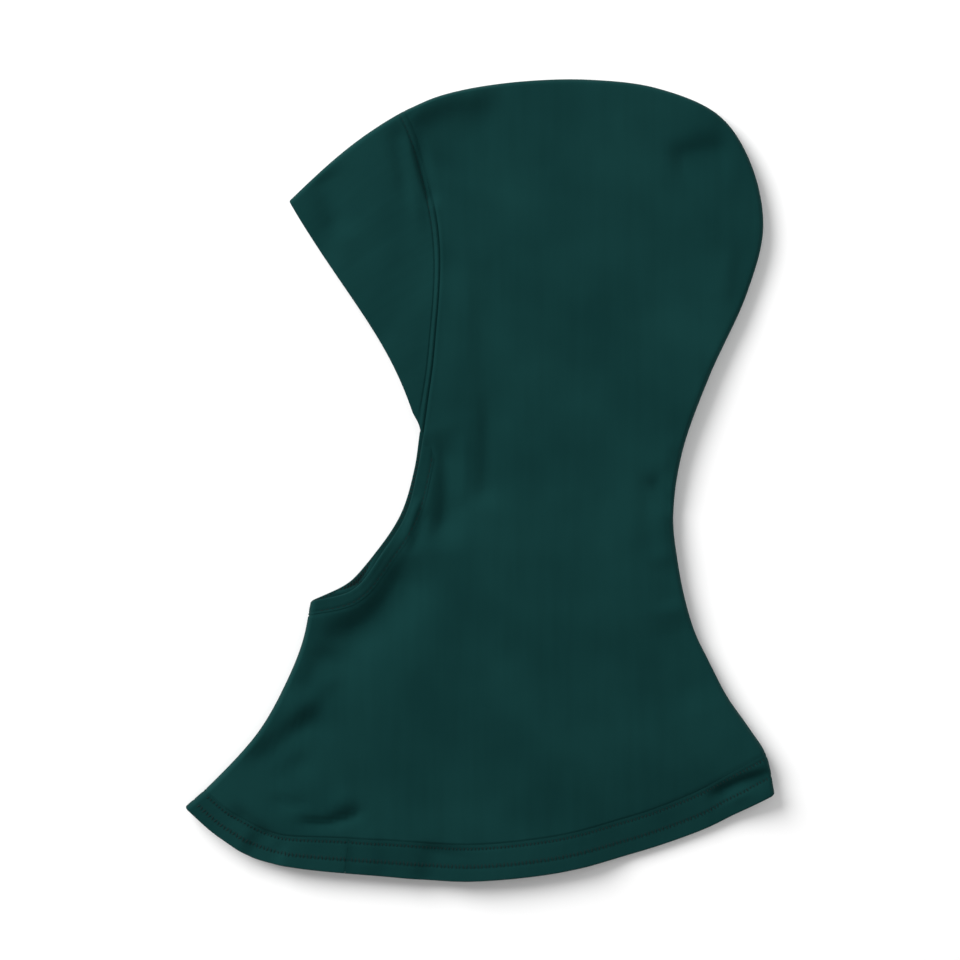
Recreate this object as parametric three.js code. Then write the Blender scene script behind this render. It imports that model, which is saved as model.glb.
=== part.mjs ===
// Hijab underscarf cap in thin stretch jersey, laid flat on its profile: the face looks along -X, the crown is
// at +Y, and the cloth lies on the plane Z = 0. Two mirrored side pieces are sewn together along the crown, the
// nape and the throat. A double forehead band, a binding round the lower face edge and a deep hem band finish
// its two openings. Lengths are in millimetres.
import * as THREE from "three";

// Cut of the laid cap
const capHeight = 400; // crown to the lowest point of the hem
const headDepth = 166; // forehead seam to the back of the head
const neckWidth = 135; // front edge to nape at the narrowest
const hemSpan = 295; // front tip to back corner of the hem
const hemDrop = 40; // bow of the hem below its two ends
const bandDepth = 73; // forehead band along its centre fold
const bandSlope = 38; // degrees that the centre fold falls towards the face
const bandCrown = 2.8; // outward bow of the centre fold
const bandHollow = 5.2; // inward bow of the band's front edge
const bandEnd = 2.4; // what is left of the band at the cheek
const bindingWidth = 7;
const hemDepth = 19;
const hemTipDepth = 13; // the hem band narrows to this at its front tip
const hemBackDepth = 21; // and widens to this at the back corner
const hemJoin = 0.275; // where the hem band's two ends meet: a share of the hem, from its front tip
const seamLap = 5; // how far one piece is tucked under the next
const edgeInset = 1.5; // the side pieces stop this far short of the binding's outer edge
const farPeek = 4.7; // the far face edge shows at most this much past the near one

// Cloth, and how it lies
const ply = 1.0; // one layer of jersey
const doublePly = 1.4; // a folded band
const clearance = 0.35; // between layers that touch
const seamGap = clearance / 2; // each side piece keeps this far from the middle of a seam
const seamRise = 4.6; // height of the seams and folds at the outline
const upperRoll = 9; // how wide the upper side rolls down to the outline
const underRoll = 7; // the same on the side that lies on the surface
const sag = 0.8; // the upper side sinks this much away from its edges
const sagReach = 45; // over this distance
const cheekAir = 0.8; // between the near and the far end of the forehead band, at the cheek
const tuckMargin = 0.5; // a layer lies fully under its neighbour this far beyond the neighbour's edge
const tuckRun = 6; // and comes back level over this length
const bandRun = 12; // length over which the band comes back level with the sides
const foldDepth = 2; // deepest fold
const foldWidth = 8; // half width of the broadest fold

// Height of the upper side. At the cheek, each side of the cap is a stack: binding, side piece, forehead band.
const cheekStack = 2 * doublePly + ply + 2 * clearance + seamGap;
const loft = 2 * cheekStack + sag + cheekAir;

const jerseyColour = 0x123837;

// Sections across the cap, from the top of the forehead seam to the hem. front and back are where a section
// starts and ends, as shares of the width that it follows, from the middle of the cap. frontUp and backUp are
// shares of the cap's height, from the hem's lowest point. peek is how far the far face edge shows past the near
// one, as a share of farPeek.
const sections = [
  { follows: headDepth, front: -0.227, frontUp: 0.961, back: -0.212, backUp: 0.964 },
  { follows: headDepth, front: -0.194, frontUp: 0.932, back: -0.133, backUp: 0.978 },
  { follows: headDepth, front: -0.164, frontUp: 0.892, back: -0.029, backUp: 0.989 },
  { follows: headDepth, front: -0.14, frontUp: 0.851, back: 0.128, backUp: 0.998 },
  { follows: headDepth, front: -0.125, frontUp: 0.814, back: 0.332, backUp: 1.0 },
  { follows: headDepth, front: -0.119, frontUp: 0.776, back: 0.536, backUp: 0.989 },
  { follows: headDepth, front: -0.122, frontUp: 0.734, back: 0.719, backUp: 0.955 },
  { follows: headDepth, front: -0.131, frontUp: 0.689, back: 0.812, backUp: 0.897 },
  { follows: headDepth, front: -0.141, frontUp: 0.643, back: 0.851, backUp: 0.817 },
  { follows: headDepth, front: -0.156, frontUp: 0.599, back: 0.804, backUp: 0.736 },
  { follows: headDepth, front: -0.169, frontUp: 0.56, back: 0.687, backUp: 0.628, name: "cheek", peek: 0 },
  { follows: neckWidth, front: -0.231, frontUp: 0.512, back: 0.746, backUp: 0.534, peek: 0.4 },
  { follows: neckWidth, front: -0.275, frontUp: 0.457, back: 0.714, backUp: 0.456, peek: 0.54 },
  { follows: neckWidth, front: -0.362, frontUp: 0.41, back: 0.73, backUp: 0.4, peek: 0.6 },
  { follows: neckWidth, front: -0.467, frontUp: 0.365, back: 0.757, backUp: 0.353, peek: 1 },
  { follows: hemSpan, front: -0.286, frontUp: 0.35, back: 0.363, backUp: 0.312, name: "chin", peek: 0 },
  { follows: hemSpan, front: -0.3, frontUp: 0.3, back: 0.389, backUp: 0.272 },
  { follows: hemSpan, front: -0.327, frontUp: 0.25, back: 0.418, backUp: 0.231 },
  { follows: hemSpan, front: -0.374, frontUp: 0.188, back: 0.454, backUp: 0.193 },
  { follows: hemSpan, front: -0.451, frontUp: 0.125, back: 0.484, backUp: 0.158 },
  { follows: hemSpan, front: -0.498, frontUp: 0.094, back: 0.498, backUp: 0.11 },
];
const rowNamed = (name) => sections.findIndex((row) => row.name === name);
const cheekRow = rowNamed("cheek"); // the forehead band ends here
const chinRow = rowNamed("chin"); // the face opening ends here
const hemRow = sections.length - 1;

// Bow of the hem from its front tip to its back corner: drop is a share of hemDrop.
const hemBow = [
  { across: 0.0, drop: 0.0 },
  { across: 0.06, drop: 0.39 },
  { across: 0.13, drop: 0.69 },
  { across: 0.2, drop: 0.8 },
  { across: 0.33, drop: 0.91 },
  { across: 0.47, drop: 1.0 },
  { across: 0.6, drop: 0.95 },
  { across: 0.74, drop: 0.75 },
  { across: 0.87, drop: 0.46 },
  { across: 0.94, drop: 0.22 },
  { across: 1.0, drop: 0.0 },
];

// Main folds of the upper side. across is a share of hemSpan from the middle and up a share of capHeight, at
// the fold's two ends. width is a share of foldWidth, and depth of foldDepth: valleys are negative.
const folds = [
  { name: "chin", across: -0.255, up: 0.307, toAcross: -0.13, toUp: 0.37, width: 0.85, depth: -1.0 },
  { name: "under chin", across: -0.268, up: 0.31, toAcross: -0.318, toUp: 0.235, width: 0.6, depth: -0.55 },
  { name: "throat", across: -0.265, up: 0.222, toAcross: -0.41, toUp: 0.14, width: 0.6, depth: -0.85 },
  { name: "throat ridge", across: -0.22, up: 0.24, toAcross: -0.34, toUp: 0.125, width: 0.75, depth: 0.5 },
  { name: "skirt", across: -0.3, up: 0.088, toAcross: -0.18, toUp: 0.094, width: 0.5, depth: -0.6 },
  { name: "cheek", across: -0.063, up: 0.56, toAcross: -0.072, toUp: 0.45, width: 0.6, depth: -0.5 },
  { name: "cheek ridge", across: -0.035, up: 0.58, toAcross: -0.035, toUp: 0.47, width: 0.5, depth: 0.25 },
  { name: "neck", across: -0.004, up: 0.68, toAcross: -0.003, toUp: 0.49, width: 0.6, depth: -0.45 },
  { name: "crown front", across: -0.012, up: 0.985, toAcross: -0.016, toUp: 0.94, width: 0.5, depth: -0.5 },
  { name: "crown dent", across: 0.325, up: 0.912, toAcross: 0.418, toUp: 0.927, width: 0.8, depth: -0.9 },
  { name: "crown ridge", across: 0.34, up: 0.95, toAcross: 0.4, toUp: 0.955, width: 0.7, depth: 0.35 },
  { name: "crown back", across: 0.434, up: 0.786, toAcross: 0.417, toUp: 0.68, width: 0.6, depth: -0.5 },
  { name: "nape tuck", across: 0.3, up: 0.484, toAcross: 0.32, toUp: 0.468, width: 0.4, depth: -0.5 },
  { name: "nape", across: 0.29, up: 0.37, toAcross: 0.312, toUp: 0.294, width: 0.6, depth: -0.55 },
  { name: "hem back", across: 0.488, up: 0.14, toAcross: 0.41, toUp: 0.097, width: 0.7, depth: -0.8 },
];

const lerp = THREE.MathUtils.lerp;
const smoothstep = (x, from, to) => THREE.MathUtils.smoothstep(x, from, to);
const flat = (x, y) => new THREE.Vector3(x, y, 0);
const smoothCurve = (points) => new THREE.CatmullRomCurve3(points, false, "centripetal");
const turnLeft = (v) => flat(-v.y, v.x);

// Outline

const sectionEnd = (row, end) => flat(row[end] * row.follows, (row[end + "Up"] - 0.5) * capHeight);
const faceEdge = smoothCurve(sections.slice(0, chinRow + 1).map((row) => sectionEnd(row, "front")));
const throatEdge = smoothCurve(sections.slice(chinRow).map((row) => sectionEnd(row, "front")));
const backEdge = smoothCurve(sections.map((row) => sectionEnd(row, "back")));
const bowCurve = smoothCurve(hemBow.map((row) => flat(row.across, row.drop)));

// A row number runs along the front edge and the back edge together, from 0 at the forehead seam to hemRow at
// the hem.
function frontAt(row) {
  if (row <= chinRow) return faceEdge.getPoint(row / chinRow);
  return throatEdge.getPoint((row - chinRow) / (hemRow - chinRow));
}

const backAt = (row) => backEdge.getPoint(row / hemRow);

// The value between low and high at which isBefore stops being true.
function bisect(low, high, isBefore, halvings = 24) {
  const middle = (low + high) / 2;
  if (halvings === 0) return middle;
  if (isBefore(middle)) return bisect(middle, high, isBefore, halvings - 1);
  return bisect(low, middle, isBefore, halvings - 1);
}

function hemBowAt(across) {
  const along = bisect(0, 1, (t) => bowCurve.getPoint(t).x < across);
  return bowCurve.getPoint(along).y * hemDrop;
}

// Where a side piece lies, seen from above: across runs from the front edge (0) to the back edge (1).
function planAt(across, row) {
  const point = frontAt(row).lerp(backAt(row), across);
  point.y -= hemBowAt(across) * smoothstep(row, chinRow, hemRow);
  return point;
}

// Forehead band: along runs from the centre fold (0) to the cheek (1).
const seamTop = frontAt(0);
const bandTip = flat(
  seamTop.x - bandDepth * Math.cos(THREE.MathUtils.degToRad(bandSlope)),
  seamTop.y - bandDepth * Math.sin(THREE.MathUtils.degToRad(bandSlope)),
);

const faceTangent = (row) => faceEdge.getTangent(row / chinRow);
const towardsBack = (row) => turnLeft(faceTangent(row));

function bandFrontAt(along) {
  const cheek = frontAt(cheekRow).addScaledVector(towardsBack(cheekRow), -bandEnd);
  const chord = cheek.clone().sub(bandTip).normalize();
  const hollow = bandHollow * Math.sin(Math.PI * along ** 1.7);
  return bandTip.clone().lerp(cheek, along).addScaledVector(turnLeft(chord), hollow);
}

function bandPlan(along, width) {
  const seam = frontAt(along * cheekRow);
  if (width < 0) return seam.addScaledVector(towardsBack(along * cheekRow), -width * seamLap);
  const fold = bandTip.clone().sub(seamTop).normalize();
  const bow = bandCrown * Math.sin(Math.PI * width ** 0.85) * (1 - along) ** 3;
  return seam.lerp(bandFrontAt(along), width).addScaledVector(turnLeft(fold), -bow);
}

// Binding of the lower face edge: along runs from the cheek (0) to the chin (1), and inset is a distance from
// the edge.
const bindingRow = (along) => lerp(cheekRow, chinRow, along);
const peekCurve = smoothCurve(sections.slice(cheekRow, chinRow + 1).map((row, i) => flat(i, row.peek)));
const peekAt = (along) => peekCurve.getPoint(along).y * farPeek;

function bindingPlan(along, inset, isFar) {
  const row = bindingRow(along);
  const inwards = towardsBack(row).lerp(throatEdge.getTangent(0), along ** 3).normalize();
  const reach = inset - (isFar ? peekAt(along) : 0);
  return frontAt(row).addScaledVector(inwards, reach);
}

// Hem band: its top line lies this far above the hem.
function hemDepthAt(across) {
  const frontDepth = lerp(hemTipDepth, hemDepth, smoothstep(across, 0, 0.25));
  return lerp(frontDepth, hemBackDepth, smoothstep(across, 0.75, 1));
}

function rowAboveHem(across, height) {
  const hem = planAt(across, hemRow);
  return bisect(chinRow, hemRow, (row) => planAt(across, row).distanceTo(hem) > height);
}

const hemTopRow = (across) => rowAboveHem(across, hemDepthAt(across));

function heightAboveHemTop(across, row) {
  const top = hemTopRow(across);
  return row > top ? 0 : planAt(across, row).distanceTo(planAt(across, top));
}

// How the cloth lies

const sampled = (count, pointAt) => Array.from({ length: count + 1 }, (_, i) => pointAt(i / count));

// The edges where the cloth turns over from the upper side to the under side, with the outside on their left.
const closedEdges = [
  [...sampled(30, (t) => bandPlan(0, 1 - t)), ...backEdge.getPoints(240)],
  throatEdge.getPoints(60).reverse(),
];
const boundEdge = sampled(60, (t) => bindingPlan(t, 0, false));

function nearestOn(polyline, point) {
  let best = { distance: Infinity };
  for (let i = 0; i + 1 < polyline.length; i++) {
    const step = polyline[i + 1].clone().sub(polyline[i]);
    const share = THREE.MathUtils.clamp(point.clone().sub(polyline[i]).dot(step) / step.lengthSq(), 0, 1);
    const at = polyline[i].clone().addScaledVector(step, share);
    const distance = at.distanceTo(point);
    if (distance < best.distance) best = { distance, at, step };
  }
  return best;
}

function foldHeight(point) {
  let height = 0;
  for (const fold of folds) {
    const from = flat(fold.across * hemSpan, (fold.up - 0.5) * capHeight);
    const run = flat(fold.toAcross * hemSpan, (fold.toUp - 0.5) * capHeight).sub(from);
    const offset = point.clone().sub(from);
    const along = offset.dot(run) / run.lengthSq();
    const beside = offset.dot(turnLeft(run).normalize()) / (fold.width * foldWidth);
    const ends = smoothstep(along, -0.35, 0.3) * (1 - smoothstep(along, 0.7, 1.35));
    height += fold.depth * foldDepth * Math.exp(-beside * beside) * ends;
  }
  return height;
}

// 1 under a neighbour's edge, and 0 from a tuckRun beyond it.
const tuckShare = (beyond) => 1 - smoothstep(beyond, tuckMargin, tuckMargin + tuckRun);
const underBinding = (point) => tuckShare(nearestOn(boundEdge, point).distance - bindingWidth);

// The cap's outer surface above a point of the plan, with its normal. onEdge marks points of a closed edge, where
// the upper side (+1) and the under side (-1) meet.
function surfaceAt(point, side, onEdge) {
  const nearest = closedEdges
    .map((edge) => nearestOn(edge, point))
    .reduce((a, b) => (a.distance < b.distance ? a : b));
  const roll = side > 0 ? upperRoll : underRoll;
  const rise = side > 0 ? loft - seamRise : seamRise;
  const inside = onEdge ? 0 : Math.min(nearest.distance, roll);
  const angle = Math.acos(1 - inside / roll);
  const outwards = onEdge ? turnLeft(nearest.step) : nearest.at.clone().sub(point);
  const normal = outwards.normalize().multiplyScalar(rise * Math.cos(angle));
  normal.z = side * roll * Math.sin(angle);
  const seat = point.clone();
  seat.z = seamRise + side * rise * Math.sin(angle);
  if (side > 0) {
    seat.z -= sag * smoothstep(nearest.distance, upperRoll, upperRoll + sagReach);
    seat.z += foldHeight(point) * Math.sin(angle) ** 2 * (1 - underBinding(point));
  }
  return { seat, normal: normal.normalize() };
}

// Two points through the thickness of a layer that starts at a depth below the outer surface.
function layerAt(point, side, onEdge, depth, thickness) {
  const { seat, normal } = surfaceAt(point, side, onEdge);
  return {
    outer: seat.clone().addScaledVector(normal, -depth),
    inner: seat.clone().addScaledVector(normal, -depth - thickness),
  };
}

// How deep a side piece is pushed down beneath the binding and the hem band.
const tuckDepth = (share) => share * (doublePly + clearance + seamGap);

// A closed solid from a grid of outer and inner points.
function clothMesh(name, grid, colour) {
  const rows = grid.length;
  const columns = grid[0].length;
  const positions = [];
  for (const face of ["outer", "inner"])
    for (const row of grid) for (const cell of row) positions.push(...cell[face].toArray());
  const id = (face, i, j) => face * rows * columns + i * columns + j;
  const at = (n) => new THREE.Vector3(positions[3 * n], positions[3 * n + 1], positions[3 * n + 2]);
  const index = [];
  const quad = (a, b, c, d) => {
    if (at(a).distanceTo(at(c)) < at(b).distanceTo(at(d))) index.push(a, b, c, a, c, d);
    else index.push(a, b, d, b, c, d);
  };
  for (let i = 0; i + 1 < rows; i++)
    for (let j = 0; j + 1 < columns; j++) {
      quad(id(0, i, j), id(0, i + 1, j), id(0, i + 1, j + 1), id(0, i, j + 1));
      quad(id(1, i, j), id(1, i, j + 1), id(1, i + 1, j + 1), id(1, i + 1, j));
    }
  for (let j = 0; j + 1 < columns; j++) {
    quad(id(0, 0, j), id(0, 0, j + 1), id(1, 0, j + 1), id(1, 0, j));
    quad(id(0, rows - 1, j + 1), id(0, rows - 1, j), id(1, rows - 1, j), id(1, rows - 1, j + 1));
  }
  for (let i = 0; i + 1 < rows; i++) {
    quad(id(0, i + 1, 0), id(0, i, 0), id(1, i, 0), id(1, i + 1, 0));
    quad(id(0, i, columns - 1), id(0, i + 1, columns - 1), id(1, i + 1, columns - 1), id(1, i, columns - 1));
  }
  let volume = 0;
  for (let n = 0; n < index.length; n += 3)
    volume += at(index[n]).dot(at(index[n + 1]).cross(at(index[n + 2]))) / 6;
  if (volume < 0) index.reverse();
  const geometry = new THREE.BufferGeometry();
  geometry.setAttribute("position", new THREE.Float32BufferAttribute(positions, 3));
  geometry.setIndex(index);
  geometry.computeVertexNormals();
  const material = new THREE.MeshStandardMaterial({ color: colour, roughness: 0.85, metalness: 0 });
  material.name = name;
  const mesh = new THREE.Mesh(geometry, material);
  mesh.name = name;
  return mesh;
}

// Where the pieces are cut into facets
const rollCuts = 5; // across each roll
const upperSteps = 12; // between the rolls of the upper side
const underSteps = 8; // between the rolls of the under side

// Shares across a section: equal turns of the cloth in the roll at both ends, and even steps between.
function stopsAcross(row, side) {
  const length = planAt(0, row).distanceTo(planAt(1, row));
  const roll = Math.min(side > 0 ? upperRoll : underRoll, 0.4 * length) / length;
  const start = sampled(rollCuts, (t) => roll * (1 - Math.cos((Math.PI / 2) * t)));
  const ease = (t) => lerp(t, (1 - Math.cos(Math.PI * t)) / 2, 0.5);
  const between = sampled(side > 0 ? upperSteps : underSteps, (t) => lerp(roll, 1 - roll, ease(t)));
  return [...start, ...between.slice(1, -1), ...start.map((share) => 1 - share).reverse()];
}

// Rows, closer together where the cloth turns over at the crown and the chin.
const seamRows = [0, 0.06, 0.2, 0.45, 0.7, 1];
const chinOffsets = [-0.75, -0.5, -0.3, -0.16, -0.06, 0, 0.04, 0.12, 0.25, 0.5];
const chinRows = chinOffsets.map((offset) => chinRow + offset);
const skirtRows = [16, 17, 18];

function steppedRows(from, to, step) {
  const count = Math.round((to - from) / step);
  return Array.from({ length: count }, (_, i) => from + (i + 1) * step);
}

const headRows = [...seamRows, ...steppedRows(1, cheekRow, 0.5)];
const cheekRows = (side) => steppedRows(cheekRow, chinRow - 1, side > 0 ? 0.5 : 1);

// The two mirrored side pieces

function sidePiece(name, side) {
  const isFar = side < 0;
  const bodyRows = [...headRows, ...cheekRows(side), ...chinRows, ...skirtRows];
  const lowRows = [0.3, 0.55, 0.7, 0.82, 0.91, 1];
  const lastRow = bodyRows.at(-1);
  const cellAt = (across, row, onEdge) => {
    const along = THREE.MathUtils.clamp((row - cheekRow) / (chinRow - cheekRow), 0, 1);
    const inset = edgeInset * smoothstep(along, 0, 0.1) * (1 - smoothstep(row, chinRow, chinRow + 0.5));
    const shift = bindingPlan(along, inset, isFar).sub(frontAt(bindingRow(along)));
    const point = planAt(across, row).addScaledVector(shift, (1 - across) ** 3);
    const underHem = tuckShare(heightAboveHemTop(across, row));
    const depth = tuckDepth(Math.max(underBinding(point), underHem));
    const cell = layerAt(point, side, onEdge, depth, ply);
    for (const face of ["outer", "inner"]) cell[face].z += side * seamGap;
    return cell;
  };
  const grid = [];
  for (const row of bodyRows) {
    grid.push(
      stopsAcross(row, side).map((across) => {
        const onEdge = row === 0 || across === 1 || (across === 0 && row >= chinRow);
        return cellAt(across, row, onEdge);
      }),
    );
  }
  for (const share of lowRows)
    grid.push(
      stopsAcross(hemRow, side).map((across) => {
        const end = rowAboveHem(across, hemDepthAt(across) - seamLap);
        return cellAt(across, lerp(lastRow, end, share), across === 0 || across === 1);
      }),
    );
  return clothMesh(name, grid, jerseyColour);
}

// Forehead band, from the near cheek over the centre fold to the far cheek

function foreheadBand() {
  const widths = [-1, -0.5, 0, 0.06, 0.14, 0.3, 0.5, 0.75, 1];
  const cellsAt = (along, side) =>
    widths.map((width) => {
      const point = bandPlan(along, width);
      const exposed = Math.max(0, width) * bandPlan(along, 0).distanceTo(bandPlan(along, 1));
      const tucked = (1 - smoothstep(exposed, 0, bandRun)) * (ply + clearance);
      const depth = tucked + tuckDepth(underBinding(point));
      return layerAt(point, side, along === 0, depth, doublePly);
    });
  const along = headRows.map((row) => row / cheekRow);
  const grid = [
    ...[...along].reverse().map((share) => cellsAt(share, 1)),
    ...along.slice(1).map((share) => cellsAt(share, -1)),
  ];
  return clothMesh("forehead_band", grid, jerseyColour);
}

// Binding, from the near cheek round the chin to the far cheek

function faceEdgeBinding() {
  const insets = [0, 0.2, 0.4, 0.7, 1];
  const cellsAt = (along, side) =>
    insets.map((share) => {
      const point = bindingPlan(along, share * bindingWidth, side < 0);
      return layerAt(point, side, along === 1, 0, doublePly);
    });
  const alongAt = (side) =>
    [cheekRow, ...cheekRows(side), ...chinRows]
      .filter((row) => row <= chinRow)
      .map((row) => (row - cheekRow) / (chinRow - cheekRow));
  const grid = [
    ...alongAt(1).map((share) => cellsAt(share, 1)),
    ...alongAt(-1).reverse().slice(1).map((share) => cellsAt(share, -1)),
  ];
  return clothMesh("face_edge_binding", grid, jerseyColour);
}

// Hem band, from its join on the near side round the back, the far side and the front tip, back to the join

function hemBand() {
  const levels = [0, 0.15, 0.5, 0.85, 1];
  const length = planAt(0, hemRow).distanceTo(planAt(1, hemRow));
  const joinGap = clearance / length / 2;
  const nextStop = 0.01;
  const cellsAt = (across, side) =>
    levels.map((level) => {
      const point = planAt(across, lerp(hemTopRow(across), hemRow, level));
      return layerAt(point, side, across === 0 || across === 1, 0, doublePly);
    });
  const near = stopsAcross(hemRow, 1);
  const far = stopsAcross(hemRow, -1);
  const toBack = [hemJoin + joinGap, ...near.filter((across) => across > hemJoin + nextStop)];
  const toFront = far.slice(1, -1).reverse();
  const toJoin = [...near.filter((across) => across < hemJoin - nextStop), hemJoin - joinGap];
  const grid = [
    ...toBack.map((across) => cellsAt(across, 1)),
    ...toFront.map((across) => cellsAt(across, -1)),
    ...toJoin.map((across) => cellsAt(across, 1)),
  ];
  return clothMesh("hem_band", grid, jerseyColour);
}

const cap = new THREE.Group();
cap.name = "underscarf_cap";
cap.add(sidePiece("left_side", 1));
cap.add(sidePiece("right_side", -1));
cap.add(foreheadBand());
cap.add(faceEdgeBinding());
cap.add(hemBand());

// The frame: the origin is below the middle of the laid cap, on the surface.
const box = new THREE.Box3().setFromObject(cap);
const middle = box.getCenter(new THREE.Vector3());
cap.position.set(-middle.x, -middle.y, -box.min.z);

export default cap;
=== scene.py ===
# %% [markdown]
# # An underscarf cap in stretch jersey, laid flat
#
# The cap is thin cloth that was cut, sewn and laid on a table on its profile. The CAD frame says where
# each piece lies. This lesson makes the cloth itself: sheets with real wall thickness, soft rolls at the
# edges, folds, seam furrows, stitches and a knitted surface. Everything is in metres, in the same place
# as the CAD pieces.

# %% The frame and the tools
import math

import bpy
import numpy as np
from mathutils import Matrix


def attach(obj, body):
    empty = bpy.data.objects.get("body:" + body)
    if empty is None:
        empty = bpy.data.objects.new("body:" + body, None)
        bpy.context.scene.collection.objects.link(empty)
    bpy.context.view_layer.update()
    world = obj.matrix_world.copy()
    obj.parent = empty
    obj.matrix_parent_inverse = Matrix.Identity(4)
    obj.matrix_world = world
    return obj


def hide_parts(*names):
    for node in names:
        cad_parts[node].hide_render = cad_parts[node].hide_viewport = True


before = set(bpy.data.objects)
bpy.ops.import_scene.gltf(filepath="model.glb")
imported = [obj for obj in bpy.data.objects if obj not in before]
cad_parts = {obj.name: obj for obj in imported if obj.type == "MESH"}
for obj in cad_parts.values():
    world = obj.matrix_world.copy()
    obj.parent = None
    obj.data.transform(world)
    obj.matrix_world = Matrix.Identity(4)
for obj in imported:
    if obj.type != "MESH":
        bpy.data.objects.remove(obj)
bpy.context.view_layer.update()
mm = 0.001
print("frame pieces:", sorted(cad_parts))

# %% [markdown]
# ## The camera
#
# The picture was taken from straight above, so the cap shows its true outline. A long lens high above the
# cloth keeps the perspective small. The height follows from the width that the view takes in at the level
# of the cloth.

# %% Camera
view_width = 478.8 * mm
view_level = 5 * mm
lens = 100.0
sensor = 36.0
bpy.ops.object.camera_add(location=(0, 0, view_level + view_width * lens / sensor), rotation=(0, 0, 0))
camera = bpy.context.object
camera.name = "camera_above"
camera.data.lens = lens
camera.data.sensor_width = sensor
bpy.context.scene.camera = camera
print("camera height:", round(camera.location.z, 3), "m")

# %% [markdown]
# ## The floor and the light
#
# Plain pale paper lies below the cap. One large soft lamp stands at the upper left, a weak one at the
# upper right, and a pale sky fills the shadows, so that the folds of the dark cloth read by their slopes
# alone.

# %% Helpers for materials
def wire(tree, value, socket):
    """Connects an output to a socket, or sets the socket to a value."""
    if isinstance(value, bpy.types.NodeSocket):
        tree.links.new(value, socket)
    else:
        socket.default_value = value


def fill(tree, node, inputs):
    """Wires the inputs of a node, given by their names."""
    for label, value in inputs.items():
        wire(tree, value, node.inputs[label])


def add_node(tree, kind, inputs):
    """A new node with its inputs wired."""
    node = tree.nodes.new("ShaderNode" + kind)
    fill(tree, node, inputs)
    return node


def mix_colour(tree, factor, first, second):
    """A colour that goes from the first to the second with a factor."""
    node = tree.nodes.new("ShaderNodeMix")
    node.data_type = "RGBA"
    fill(tree, node, {"Factor": factor, "A": first, "B": second})
    return node.outputs["Result"]


def new_material(name):
    """A material, its node tree and its shader."""
    material = bpy.data.materials.new(name)
    material.use_nodes = True
    return material, material.node_tree, material.node_tree.nodes["Principled BSDF"]


print("helpers for materials ready")

# %% Floor
floor_level = -0.3 * mm
bpy.ops.mesh.primitive_plane_add(size=6, location=(0, 0, floor_level))
floor = bpy.context.object
floor.name = "pale_floor"
paper, paper_tree, paper_shader = new_material("pale_paper")
paper_grain = add_node(paper_tree, "TexNoise", {"Scale": 3.0}).outputs["Fac"]
paper_tone = mix_colour(paper_tree, paper_grain, (0.88, 0.88, 0.88, 1), (0.91, 0.91, 0.91, 1))
fill(paper_tree, paper_shader, {"Base Color": paper_tone, "Roughness": 0.9, "Specular IOR Level": 0.1})
floor.data.materials.append(paper)
print("floor:", floor.name)

# %% Light
def soft_lamp(name, place, size, power):
    """An area lamp that looks at the middle of the cap."""
    bpy.ops.object.light_add(type="AREA", location=place)
    lamp = bpy.context.object
    lamp.name = name
    lamp.data.shape = "DISK"
    lamp.data.size = size
    lamp.data.energy = power
    lamp.rotation_euler = (-lamp.location).to_track_quat("-Z", "Y").to_euler()
    return lamp


key_lamp = soft_lamp("key_lamp", (-1.25, 1.06, 1.12), 1.5, 61)
side_lamp = soft_lamp("side_lamp", (1.7, 0.75, 0.75), 1.4, 12)
sky = bpy.data.worlds.new("pale_sky")
sky.use_nodes = True
sky.node_tree.nodes["Background"].inputs["Color"].default_value = (1.0, 1.0, 1.0, 1)
sky.node_tree.nodes["Background"].inputs["Strength"].default_value = 0.48
bpy.context.scene.world = sky
bpy.context.scene.view_settings.view_transform = "Standard"
print("lamps:", [lamp.name for lamp in (key_lamp, side_lamp)])

# %% [markdown]
# ## The cut
#
# These are the sizes and the section table of the CAD source, in metres, because a soft piece is made
# again here in finer detail. Only the hem's join lies a millimetre nearer the front tip. Each section
# crosses the cap from its front edge to its back edge. Its ends are given as shares: sideways of the
# width that the section follows, upwards of the whole height.

# %% Sizes of the laid cap
cap_height = 400 * mm
head_depth = 166 * mm
neck_width = 135 * mm
hem_span = 295 * mm
hem_drop = 40 * mm
band_depth = 73 * mm
band_slope = math.radians(38)
band_crown = 2.8 * mm
band_hollow = 5.2 * mm
band_end = 2.4 * mm
band_taper = 0.35
taper_start = 0.92
binding_width = 7 * mm
hem_depth = 19 * mm
hem_tip_depth = 13 * mm
hem_back_depth = 21 * mm
hem_join = 0.271
seam_lap = 5 * mm
far_peek = 4.7 * mm
print("cap:", round(hem_span / mm), "by", round(cap_height / mm), "mm")

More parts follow.
